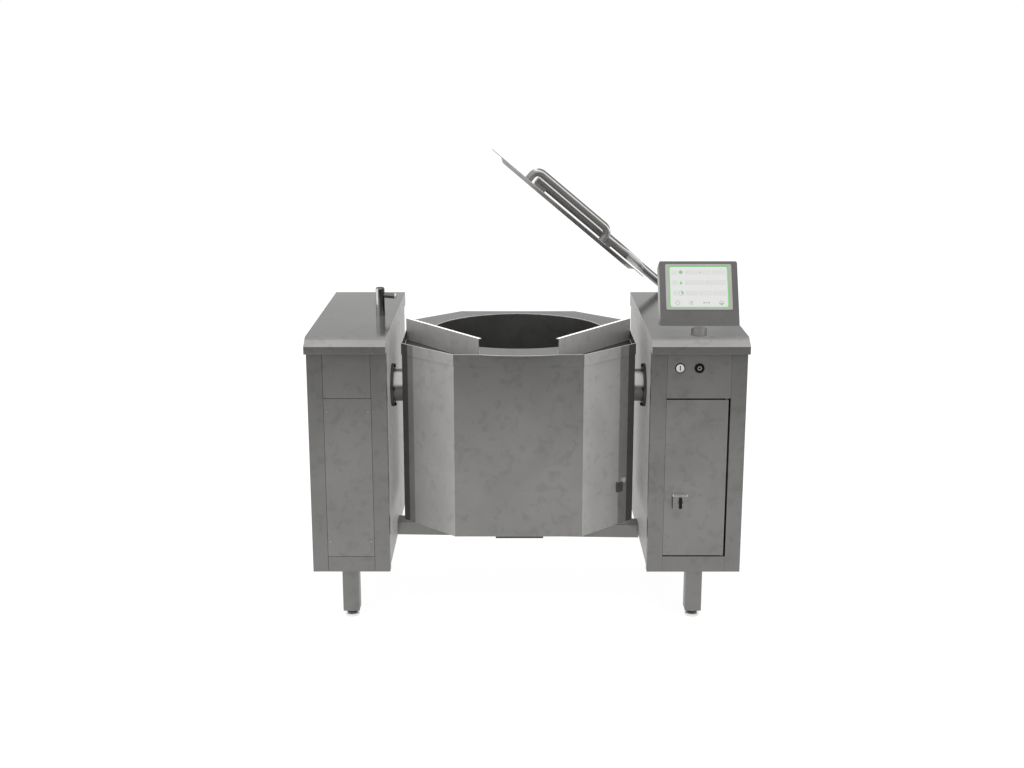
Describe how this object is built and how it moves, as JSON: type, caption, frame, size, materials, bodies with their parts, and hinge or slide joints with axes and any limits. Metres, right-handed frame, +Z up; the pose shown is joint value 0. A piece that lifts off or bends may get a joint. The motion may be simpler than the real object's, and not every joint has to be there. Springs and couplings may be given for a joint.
{
  "type": "tilting kettle",
  "caption": "Tilting kettle with an octagonal jacketed vessel hung between two pedestals, a swing lid on a bent arm, a swivel tap and a touch panel.",
  "frame": {"origin": "on the floor, at the centre of the box around the whole machine", "axes": "+Z up, -Y towards the operator, +X to the operator's right, towards the touch panel"},
  "size_m": [1.3, 0.9192, 1.4198],
  "materials": {
    "worktop": "brushed, slightly cloudy",
    "casing": "brushed",
    "front": "brushed",
    "inner_cover": "brushed upright",
    "frame": "matt grey paint",
    "leg": "brushed",
    "foot": "satin",
    "bearing": "turned",
    "fastener": "polished",
    "beam": "brushed",
    "tap": "polished",
    "valve_brass": "satin",
    "pipe": "satin",
    "gland": "matt",
    "control_box": "fine texture paint",
    "motor": "satin paint",
    "panel_housing": "brushed",
    "bezel": "satin",
    "screen": "glossy, lit",
    "ring": "polished",
    "start_button": "gloss white",
    "stop_button": "gloss black",
    "bowl": "ground, satin",
    "jacket": "mill finish",
    "insulation": "fibrous",
    "cladding": "brushed",
    "collar": "bright",
    "heater": "heat tinted",
    "junction_box": "matt dark",
    "trunnion": "turned",
    "gear": "machined",
    "plug": "dark",
    "lid": "brushed",
    "lid_tube": "polished",
    "lock": "satin",
    "latch": "satin"
  },
  "bodies": {
    "base": {"left_worktop": "worktop", "right_worktop": "worktop", "left_casing": "casing", "right_casing": "casing", "left_front_frame": "front", "right_front_frame": "front", "left_upper_panel": "front", "right_upper_panel": "front", "left_lower_panel": "front", "left_inner_cover": "inner_cover", "right_inner_cover": "inner_cover", "left_frame": "frame", "right_frame": "frame", "legs": "leg", "levelling_feet": "foot", "trunnion_bearings": "bearing", "bearing_bolts": "fastener", "panel_screws": "fastener", "cross_beam": "beam", "tap_post": "tap", "water_valve": "valve_brass", "water_pipe": "pipe", "water_inlet": "valve_brass", "cable_gland": "gland", "control_box": "control_box", "gear_motor": "motor", "panel_neck": "panel_housing", "panel_housing": "panel_housing", "panel_back_cover": "panel_housing", "screen_bezel": "bezel", "touch_screen": "screen", "button_rings": "ring", "lid_bearing": "bearing"},
    "kettle": {"kettle_bowl": "bowl", "bowl_bottom": "bowl", "steam_jacket": "jacket", "kettle_insulation": "insulation", "kettle_cladding": "cladding", "kettle_collar": "collar", "pouring_guides": "collar", "kettle_bottom": "cladding", "heating_elements": "heater", "junction_box": "junction_box", "left_trunnion": "trunnion", "right_trunnion": "trunnion", "tilt_gear": "gear", "safety_valve": "valve_brass", "jacket_plug": "plug"},
    "pinion": {"tilt_pinion": "gear"},
    "lid": {"lid_plate": "lid", "lid_arm": "lid_tube", "lid_handle": "lid_tube", "lid_shaft": "lid_tube"},
    "spout": {"tap_spout": "tap"},
    "start_button_body": {"start_button": "start_button"},
    "stop_button_body": {"stop_button": "stop_button"},
    "door": {"service_door": "front", "lock_plate": "lock"},
    "latch": {"door_latch": "latch"}
  },
  "joints": [
    {"name": "kettle_tilt", "type": "hinge", "parent": "base", "child": "kettle", "pos_m": [-0.024, -0.20311, 0.706], "axis": [1, 0, 0], "range_deg": [0, 90]},
    {"name": "pinion_spin", "type": "hinge", "parent": "base", "child": "pinion", "pos_m": [0.424, -0.08821, 0.60958], "axis": [1, 0, 0], "range_deg": [-360, 0]},
    {"name": "lid_hinge", "type": "hinge", "parent": "base", "child": "lid", "pos_m": [0.5035, 0.43689, 0.828], "axis": [-0.1011, 0.9949, 0], "range_deg": [-40, 45]},
    {"name": "tap_swivel", "type": "hinge", "parent": "base", "child": "spout", "pos_m": [-0.459, -0.06411, 0.95], "axis": [0, 0, 1], "range_deg": [-110, 110]},
    {"name": "start_press", "type": "slide", "parent": "base", "child": "start_button_body", "axis": [0, 1, 0], "range_m": [0, 0.003], "stiffness_N_per_m": 400},
    {"name": "stop_press", "type": "slide", "parent": "base", "child": "stop_button_body", "axis": [0, 1, 0], "range_m": [0, 0.003], "stiffness_N_per_m": 400},
    {"name": "door_hinge", "type": "hinge", "parent": "base", "child": "door", "pos_m": [0.588, -0.42511, 0.474], "axis": [0, 0, 1], "range_deg": [0, 110]},
    {"name": "latch_turn", "type": "hinge", "parent": "door", "child": "latch", "pos_m": [0.458, -0.43161, 0.4025], "axis": [0, 1, 0], "range_deg": [0, 90]}
  ],
  "couplings": [
    {"joint": "pinion_spin", "follows": "kettle_tilt", "ratio": -4}
  ]
}
